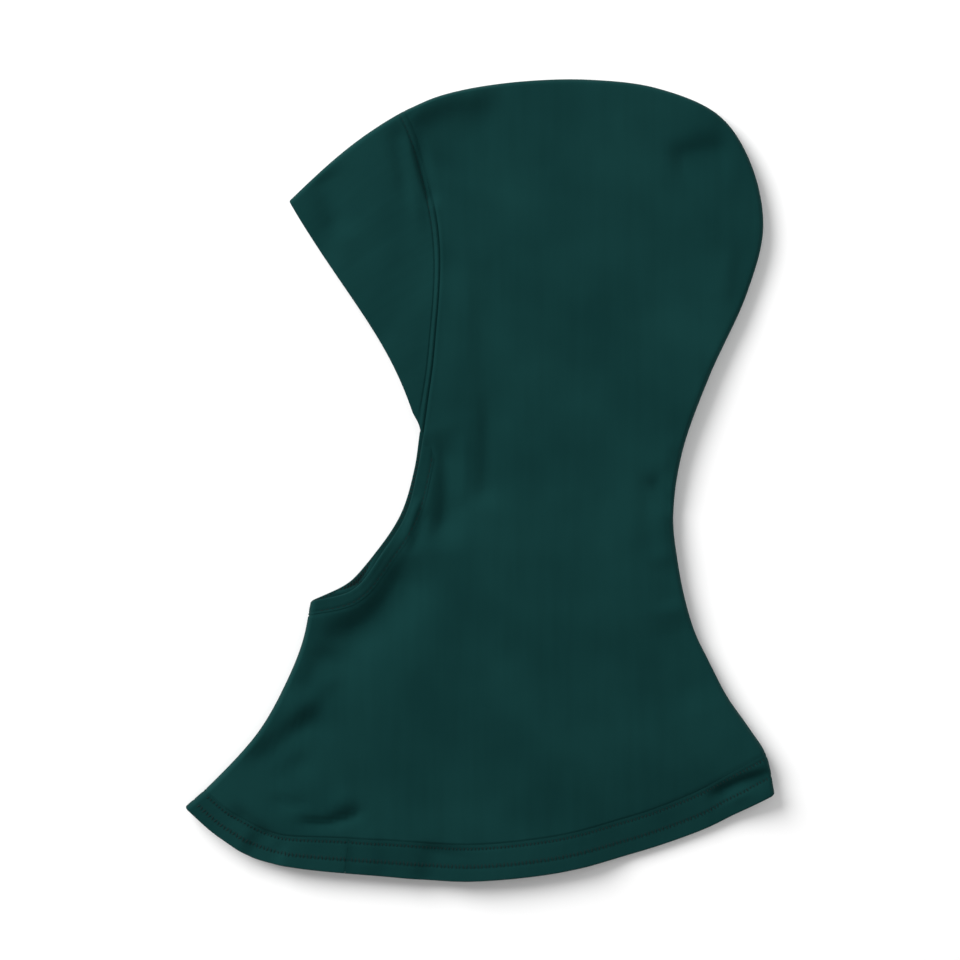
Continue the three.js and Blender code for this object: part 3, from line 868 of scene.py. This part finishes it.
band_along, band_side = mirrored(turned_stations(0.075, 75))
band_shown = np.linalg.norm(band_plan(band_along, 0) - band_plan(band_along, 1), axis=-1)
seam_inset = band_shown[:, None]
band_front = np.full(seam_inset.shape, double_ply / 2)
near_seam = np.maximum(seam_inset - np.minimum(6 * mm, 0.75 * seam_inset), band_front)
even_shares = np.linspace(0, 1, 27)
brow_insets = np.hstack([
    lerp(band_front, near_seam, even_shares[:-1]),
    lerp(near_seam, seam_inset, even_shares),
    seam_inset + seam_lap * np.linspace(0, 1, 7)[1:],
])
band_inset, band_under = loop_points(band_shown + seam_lap, brow_insets, 4 * mm)
before_seam = seam_inset - band_inset
band_width = np.where(before_seam > 0, 1 - band_inset / seam_inset, before_seam / seam_lap)
band_places = band_plan(band_along[:, None], band_width)
exposed = np.maximum(band_width, 0) * seam_inset
hidden = np.maximum(-band_width, 0) * seam_lap
pull = seam_pull(band_along * cheek_row)[:, None]
band_tuck = (lip_drop + seam_tuck) * pull * (1 - smoothstep(exposed, 0, 0.9 * mm))
band_tuck = band_tuck + (ply + 0.05 * mm - seam_tuck * pull) * smoothstep(hidden, 0, 0.8 * mm)
welt = welt_relief(exposed) * (band_width > 0) * band_side[:, None]
seat, normal = surface_at(band_places, band_side[:, None], (band_along == 0)[:, None], welt)
seat = seat - normal * (band_tuck + band_under)[..., None]
brow_band, brow_cut, brow_area = band_tube("brow_band", seat, normal)

# %% [markdown]
# ## The binding of the lower face edge
#
# A narrow doubled strip finishes the face edge from cheek to cheek and turns round the chin. It covers
# the raw edge of the sides, so it stands a little proud of them.

# %% Binding
bind_along, bind_side = mirrored(1 - turned_stations(0.12, 60))
bind_mark = 0.84
bind_widths = np.full(len(bind_along), binding_width)
bind_inset, bind_under = loop_points(bind_widths, even_insets(bind_widths, 12, [bind_mark]), 2.5 * mm)
bind_under = bind_under + stitch_channel(bind_inset - bind_mark * binding_width)
bind_under = bind_under + (ply + layer_gap) * (1 - smoothstep(bind_along, 0, cheek_fade))[:, None]
bind_places = binding_plan(bind_along[:, None], bind_inset, (bind_side < 0)[:, None])
seat, normal = surface_at(bind_places, bind_side[:, None], (bind_along == 1)[:, None])
seat = seat - normal * bind_under[..., None]
face_binding, bind_cut, bind_area = band_tube("face_binding", seat, normal)

# %% [markdown]
# ## The hem band
#
# The hem is doubled too, and held by two rows of stitches that go all the way round. Its two ends meet on
# the near side, a quarter of the way from the front tip, where the upper end lies a little over the lower
# one.

# %% Hem band
near_stops = stops_across(np.array([float(hem_row)]), 1, 130, 12)[0]
far_stops = stops_across(np.array([float(hem_row)]), -1, 110, 10)[0]
join_lean = 7 * mm
join_steps = np.array([0.07, 0.4, 0.9, 1.6]) * mm / hem_span
join_reach = 0.008
upper_end_lift = 0.3 * mm
lower_end_drop = 0.15 * mm
to_back = np.concatenate([hem_join + join_steps, near_stops[near_stops > hem_join + join_reach]])
to_front = far_stops[1:-1][::-1]
to_join = np.concatenate([near_stops[near_stops < hem_join - join_reach], hem_join - join_steps[::-1]])
hem_across = np.concatenate([to_back, to_front, to_join])
hem_side = np.concatenate([np.ones(len(to_back)), -np.ones(len(to_front)), np.ones(len(to_join))])
hem_widths = hem_depth_at(hem_across)
hem_top = row_above_hem(hem_across, hem_widths)
hem_marks = [0.9, 0.42]
hem_inset, hem_under = loop_points(hem_widths, even_insets(hem_widths, 22, hem_marks), 2.5 * mm)
for mark in hem_marks:
    hem_under = hem_under + stitch_channel(hem_inset - mark * hem_widths[:, None])
hem_height = hem_inset / hem_widths[:, None]
near_join = bulge(hem_across, hem_join, 0.07) * (hem_side > 0)
hem_leaned = hem_across[:, None] - join_lean / hem_span * near_join[:, None] * hem_height
hem_places = plan_at(hem_leaned, lerp(hem_row, hem_top[:, None], hem_height))
hem_edge = (hem_across <= 0) | (hem_across >= 1)
seat, normal = surface_at(hem_places, hem_side[:, None], hem_edge[:, None])
join_step = np.where(hem_across > hem_join, -upper_end_lift, lower_end_drop)
join_step = join_step * bulge((hem_across - hem_join) * hem_span, 0, 1.4 * mm) * (hem_side > 0)
seat = seat - normal * (hem_under + join_step[:, None])[..., None]
hem_band, hem_cut, hem_area = band_tube("hem_cloth", seat, normal)

# %% [markdown]
# ## Stitches
#
# A stitch is a short piece of thread that sinks into the cloth at both ends. One is modelled, as a ball
# that is drawn out along its length, and copied to every place in a row. The rows follow lines on the
# cloth, so each stitch lies on the folds. On the hem the stitches stand almost across their row,
# elsewhere they lie along it. The binding's inner face shows the looper thread, which runs to and fro
# across it.

# %% Helpers for threads
def thread_piece(name, points, faces):
    """A smooth piece from points and faces, with an empty UV map."""
    data = bpy.data.meshes.new(name)
    data.from_pydata(points.reshape(-1, 3).tolist(), [], faces)
    data.uv_layers.new(name="UVMap")
    data.shade_smooth()
    piece = bpy.data.objects.new(name, data)
    bpy.context.collection.objects.link(piece)
    return piece


def one_stitch(length, width, height):
    """Points, faces and UV values of a single stitch along X, with the ball's faces put in a fixed order."""
    bpy.ops.object.select_all(action="DESELECT")
    bpy.ops.mesh.primitive_uv_sphere_add(segments=8, ring_count=6, radius=0.5, rotation=(0, math.pi / 2, 0))
    ball = bpy.context.object
    ball.scale = (height, width, length)
    bpy.ops.object.transform_apply(location=False, rotation=True, scale=True)
    points = np.array([vertex.co[:] for vertex in ball.data.vertices])
    in_order = sorted(ball.data.polygons, key=lambda face: tuple(face.vertices))
    faces = [list(face.vertices) for face in in_order]
    layer = ball.data.uv_layers.active.data
    uv = np.array([layer[corner].uv[:] for face in in_order for corner in face.loop_indices])
    bpy.data.objects.remove(ball)
    return points, faces, uv


def stitch_seats(line, side, spacing, sink):
    """Places, directions and upward normals of stitches at an even spacing on a line in the plan."""
    reach = np.concatenate([[0], np.cumsum(np.linalg.norm(np.diff(line, axis=0), axis=1))])
    stops = np.arange(spacing / 2, reach[-1], spacing)
    place, before, after = (
        np.column_stack([np.interp(stops + step, reach, line[:, axis]) for axis in (0, 1)])
        for step in (0, -0.2 * spacing, 0.2 * spacing)
    )
    seat, normal = surface_at(place, side, False)
    ahead = surface_at(after, side, False)[0] - surface_at(before, side, False)[0]
    return seat - normal * sink, unit(ahead), normal


def stitched(name, rows, size, slant=0.0):
    """A copy of the stitch at every seat of the rows, each slanted the other way to the last."""
    points, faces, uv = one_stitch(*size)
    seats, aheads, normals = (np.concatenate(part) for part in zip(*rows))
    turned = slant * (-1.0) ** np.arange(len(seats))[:, None]
    aheads = aheads * np.cos(turned) + unit(np.cross(normals, aheads)) * np.sin(turned)
    sideways = unit(np.cross(normals, aheads))
    frames = np.stack([aheads, sideways, np.cross(aheads, sideways)], axis=1)
    places = seats[:, None] + np.einsum("pk,nkc->npc", points, frames)
    firsts = range(0, len(seats) * len(points), len(points))
    every = [[index + first for index in face] for first in firsts for face in faces]
    piece = thread_piece(name, places, every)
    every_uv = np.tile(uv, (len(seats), 1)).ravel().astype(np.float32)
    piece.data.uv_layers.active.uv.foreach_set("vector", every_uv)
    print(name, len(seats), "stitches")
    return piece


print("thread helpers ready")

# %% Stitches of the hem
hem_pitch = 1.85 * mm
hem_sink = 0.02 * mm
hem_slant = math.radians(78)


def hem_row_stitches(name, share, length):
    """One row of slanted stitches that goes all the way round, at a share of the hem band's depth."""
    across = np.linspace(0.008, 0.992, 400)
    line = plan_at(across, row_above_hem(across, hem_depth_at(across) * share))
    rows = [stitch_seats(line, side, hem_pitch, hem_sink) for side in (1, -1)]
    return stitched(name, rows, (length, 0.55 * mm, 0.34 * mm), hem_slant)


high_hem_row = hem_row_stitches("hem_row_high", hem_marks[0], 1.6 * mm)
low_hem_row = hem_row_stitches("hem_row_low", hem_marks[1], 2.6 * mm)

# %% Stitches of the binding and of the forehead seam
bind_share = np.linspace(0.12, 0.955, 300)
bind_rows = [
    stitch_seats(binding_plan(bind_share, bind_mark * binding_width, side < 0), side, 2.75 * mm, row_pull)
    for side in (1, -1)
]
binding_stitches = stitched("binding_stitches", bind_rows, (2.0 * mm, 0.4 * mm, 0.3 * mm))


def seam_side_line(distance):
    """A line on the forehead band at a distance from the seam."""
    row = np.linspace(0.1, cheek_row - 0.9, 300)
    return face_edge(row / chin_row) - towards_back(row) * distance


seam_rows = [stitch_seats(seam_side_line(furrow_place), side, 2.6 * mm, furrow) for side in (1, -1)]
seam_stitches = stitched("seam_stitches", seam_rows, (1.9 * mm, 0.36 * mm, 0.26 * mm))

# %% Looper thread
loop_pitch = 1.9 * mm
points_a_loop = 12
loop_middle = 2.7 * mm
loop_swing = 2.2 * mm
loop_bend = 0.96
loop_depth = double_ply + 0.2 * mm
thread_radius = 0.3 * mm


def thread_tube(name, places, normals, radius, sides=6):
    """A thread along a line of places."""
    ahead = unit(np.gradient(places, axis=0))
    sideways = unit(np.cross(normals, ahead))
    upward = np.cross(ahead, sideways)
    turn = np.arange(sides) * 2 * np.pi / sides
    ring = sideways[:, None] * np.cos(turn)[:, None] + upward[:, None] * np.sin(turn)[:, None]
    points = places[:, None] + ring * radius
    count = len(places)
    faces = [
        (i * sides + j, i * sides + (j + 1) % sides, (i + 1) * sides + (j + 1) % sides, (i + 1) * sides + j)
        for i in range(count - 1)
        for j in range(sides)
    ]
    faces += [tuple(range(sides - 1, -1, -1)), tuple((count - 1) * sides + j for j in range(sides))]
    piece = thread_piece(name, points, faces)
    run = np.repeat(np.arange(count) / points_a_loop, sides)
    around = np.tile(np.arange(sides) / sides, count)
    write_uv(piece, np.column_stack([around, run]))
    print(name, len(faces), "faces")
    return piece


bind_length = np.linalg.norm(np.diff(bound_edge, axis=0), axis=1).sum()
loops_a_side = round(bind_length / loop_pitch)
looper_along, looper_side = mirrored(np.linspace(0.01, 1, loops_a_side * points_a_loop)[::-1])
wave = np.sin(2 * np.pi * np.arange(len(looper_along)) / points_a_loop)
zigzag = np.arcsin(loop_bend * wave) / np.arcsin(loop_bend)
looper_plan = binding_plan(looper_along, loop_middle + loop_swing * zigzag, looper_side < 0)
seat, normal = surface_at(looper_plan, looper_side, looper_along == 1)
looper_thread = thread_tube("looper_thread", seat - normal * loop_depth, normal, thread_radius)

# %% [markdown]
# ## Jersey
#
# Single jersey shows columns of small V-shaped loops. A node group makes their height from UV values in
# metres, so each material can state the loop's real width and height. A second group gives the slow
# change of tone that dyed jersey has along its columns.

# %% Node group for the knit
def new_group(name, sockets):
    """An empty node group with named sockets: (name, direction, kind, value)."""
    group = bpy.data.node_groups.new(name, "ShaderNodeTree")
    for label, direction, kind, value in sockets:
        socket = group.interface.new_socket(name=label, in_out=direction, socket_type=kind)
        if value is not None:
            socket.default_value = value
    start = group.nodes.new("NodeGroupInput")
    stop = group.nodes.new("NodeGroupOutput")
    return group, start, stop


def sum_node(tree, operation, *values):
    node = tree.nodes.new("ShaderNodeMath")
    node.operation = operation
    for value, socket in zip(values, node.inputs):
        wire(tree, value, socket)
    return node.outputs[0]


knit, knit_in, knit_out = new_group(
    "jersey_loops",
    [
        ("Vector", "INPUT", "NodeSocketVector", None),
        ("Loop Width", "INPUT", "NodeSocketFloat", 0.0007),
        ("Loop Height", "INPUT", "NodeSocketFloat", 0.0006),
        ("Height", "OUTPUT", "NodeSocketFloat", None),
    ],
)
split = add_node(knit, "SeparateXYZ", {"Vector": knit_in.outputs["Vector"]})
column = sum_node(knit, "DIVIDE", split.outputs["X"], knit_in.outputs["Loop Width"])
course = sum_node(knit, "DIVIDE", split.outputs["Y"], knit_in.outputs["Loop Height"])
from_middle = sum_node(knit, "ABSOLUTE", sum_node(knit, "SUBTRACT", sum_node(knit, "FRACT", column), 0.5))
leg = sum_node(knit, "SINE", sum_node(knit, "MULTIPLY", from_middle, 2 * math.pi))
slanted = sum_node(knit, "ADD", course, sum_node(knit, "MULTIPLY", from_middle, 1.5))
strand = sum_node(knit, "COSINE", sum_node(knit, "MULTIPLY", slanted, 2 * math.pi))
strand = sum_node(knit, "MULTIPLY_ADD", strand, 0.32, 0.68)
knit.links.new(sum_node(knit, "MULTIPLY", leg, strand), knit_out.inputs["Height"])
print("group:", knit.name, len(knit.nodes), "nodes")

# %% Node group for the dye
dye, dye_in, dye_out = new_group(
    "dye_drift",
    [
        ("Vector", "INPUT", "NodeSocketVector", None),
        ("Streak Width", "INPUT", "NodeSocketFloat", 0.004),
        ("Patch Size", "INPUT", "NodeSocketFloat", 0.05),
        ("Tone", "OUTPUT", "NodeSocketFloat", None),
        ("Fuzz", "OUTPUT", "NodeSocketFloat", None),
    ],
)


def dye_noise(vector, scale, detail):
    """Noise whose scale is a number, or one over the size that a socket gives."""
    if isinstance(scale, bpy.types.NodeSocket):
        scale = sum_node(dye, "DIVIDE", 1.0, scale)
    inputs = {"Vector": vector, "Scale": scale, "Detail": detail}
    return add_node(dye, "TexNoise", inputs).outputs["Fac"]


stretch = dye.nodes.new("ShaderNodeVectorMath")
stretch.operation = "MULTIPLY"
stretch.inputs[1].default_value = (1.0, 0.06, 1.0)
dye.links.new(dye_in.outputs["Vector"], stretch.inputs[0])
streak_share = 0.2
fuzz_scale = 2600.0
streaks = dye_noise(stretch.outputs[0], dye_in.outputs["Streak Width"], 3.0)
patches = dye_noise(dye_in.outputs["Vector"], dye_in.outputs["Patch Size"], 2.0)
tone = sum_node(dye, "MULTIPLY", patches, 1 - streak_share)
tone = sum_node(dye, "MULTIPLY_ADD", streaks, streak_share, tone)
fuzz = dye_noise(dye_in.outputs["Vector"], fuzz_scale, 2.0)
fill(dye, dye_out, {"Tone": tone, "Fuzz": fuzz})
print("group:", dye.name, len(dye.nodes), "nodes")

# %% [markdown]
# ## The jersey material
#
# The cloth is a very dark blue green. Light on it is almost all diffuse, with a faint sheen from the
# fibre ends. The loops and the fuzz reach the shader as bumps. The loops also darken the colour between
# them as painted shade, and the dye moves the colour and the roughness a little.

# %% Jersey material
painted_loop_shade = 0.35


def own_uv(tree):
    """The piece's own UV values."""
    node = tree.nodes.new("ShaderNodeUVMap")
    node.uv_map = "UVMap"
    return node.outputs["UV"]


def map_range(tree, value, limits):
    """A value brought from one range to another."""
    return add_node(tree, "MapRange", {"Value": value, **limits}).outputs["Result"]


def jersey(name, dark, light, loop_width, loop_height, relief):
    """Knitted cloth: the darkest and the lightest colour, reached by the dye and by painted shade between the
    loops, and the loop's size in metres.
    """
    material, tree, shader = new_material(name)
    uv = own_uv(tree)
    loops = tree.nodes.new("ShaderNodeGroup")
    loops.node_tree = knit
    fill(tree, loops, {"Vector": uv, "Loop Width": loop_width, "Loop Height": loop_height})
    drift = tree.nodes.new("ShaderNodeGroup")
    drift.node_tree = dye
    fill(tree, drift, {"Vector": uv})
    height, fuzz = loops.outputs["Height"], drift.outputs["Fuzz"]
    tone = map_range(tree, drift.outputs["Tone"], {"From Min": 0.36, "From Max": 0.64})
    # Painted shade: the colour is darker where the knit's height is low, between the loops.
    shade = sum_node(tree, "MULTIPLY_ADD", height, painted_loop_shade, 1 - painted_loop_shade)
    relief_sum = sum_node(tree, "MULTIPLY_ADD", fuzz, 0.5, height)
    bump = add_node(tree, "Bump", {"Strength": 1.0, "Distance": relief, "Height": relief_sum})
    fill(tree, shader, {
        "Base Color": mix_colour(tree, sum_node(tree, "MULTIPLY", tone, shade), dark, light),
        "Roughness": map_range(tree, fuzz, {"To Min": 0.78, "To Max": 0.94}),
        "Specular IOR Level": 0.04,
        "Sheen Weight": 0.03,
        "Sheen Roughness": 0.45,
        "Sheen Tint": (0.45, 0.8, 0.75, 1),
        "Normal": bump.outputs["Normal"],
    })
    return material


cloth_dark = (0.0024, 0.0245, 0.0240, 1)
cloth_light = (0.0042, 0.0335, 0.0325, 1)
jersey_main, jersey_band = (
    jersey(name, cloth_dark, cloth_light, loop_width=0.72 * mm, loop_height=0.6 * mm, relief=0.05 * mm)
    for name in ("jersey", "band_jersey")
)
print("materials:", jersey_main.name, jersey_band.name)

# %% Thread material
thread, thread_tree, thread_shader = new_material("sewing_thread")
thread_dark = (0.0009, 0.0070, 0.0068, 1)
thread_light = (0.0026, 0.0185, 0.0178, 1)
thread_split = add_node(thread_tree, "SeparateXYZ", {"Vector": own_uv(thread_tree)})
twist = sum_node(thread_tree, "MULTIPLY_ADD", thread_split.outputs["Y"], 4.0, thread_split.outputs["X"])
twist = sum_node(thread_tree, "SINE", sum_node(thread_tree, "MULTIPLY", twist, 4 * math.pi))
twist = sum_node(thread_tree, "MULTIPLY_ADD", twist, 0.5, 0.5)
fill(thread_tree, thread_shader, {
    "Base Color": mix_colour(thread_tree, twist, thread_dark, thread_light),
    "Roughness": map_range(thread_tree, twist, {"To Min": 0.5, "To Max": 0.75}),
    "Specular IOR Level": 0.15,
    "Normal": add_node(thread_tree, "Bump", {"Distance": 0.05 * mm, "Height": twist}).outputs["Normal"],
})
print("material:", thread.name)

# %% [markdown]
# ## Finishing the pieces
#
# Each piece gets its material, rides on the one body of the laid cap and hides the CAD piece that it
# stands for. The size of cloth that each piece was cut from is printed.

# %% Finish and ride
def finish_piece(piece, material):
    """Gives a piece its material and rides it on the body of the laid cap."""
    piece.data.materials.clear()
    piece.data.materials.append(material)
    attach(piece, "root")


for piece, material, slot, node in (
    (near_side, jersey_main, "jersey", "left_side"),
    (far_side, jersey_main, "jersey", "right_side"),
    (brow_band, jersey_band, "band_jersey", "forehead_band"),
    (face_binding, jersey_band, "band_jersey", "face_edge_binding"),
    (hem_band, jersey_band, "band_jersey", "hem_band"),
):
    finish_piece(piece, material)
    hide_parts(node)
for piece in (high_hem_row, low_hem_row, binding_stitches, seam_stitches, looper_thread):
    finish_piece(piece, thread)
print("areas, m2:", [round(area, 4) for area in (near_area, far_area, brow_area, bind_area, hem_area)])

# %% Sheets
bind_flat = [2 * binding_width, bind_cut[1]]
for flat in (near_cut, far_cut, brow_cut, bind_flat, hem_cut):
    print("flat cut:", [round(side / mm, 1) for side in flat], "mm")
